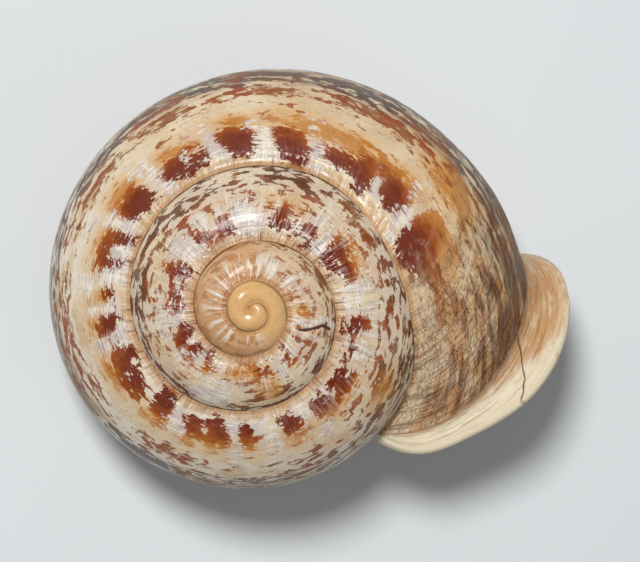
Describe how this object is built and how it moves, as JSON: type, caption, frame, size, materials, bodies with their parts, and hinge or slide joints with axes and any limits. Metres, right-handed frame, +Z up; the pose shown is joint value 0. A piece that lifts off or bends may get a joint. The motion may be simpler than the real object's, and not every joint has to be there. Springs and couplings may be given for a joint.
{
  "type": "milk snail shell",
  "caption": "Low rounded right-handed snail shell with a flared pale lip, lying on its base; hollow from the mouth inwards, navel closed.",
  "frame": {"origin": "middle of the shell's box in plan, on the surface that the shell rests on", "axes": "+X towards the side of the mouth, -Y the side that the mouth opens to, +Z up; the coil's axis leans by 14.6 degrees towards the back left"},
  "size_m": [0.0372, 0.0296, 0.0198],
  "materials": {
    "shell": "satin, glossy towards the tip"
  },
  "bodies": {
    "root": {"shell": "shell"}
  },
  "joints": []
}
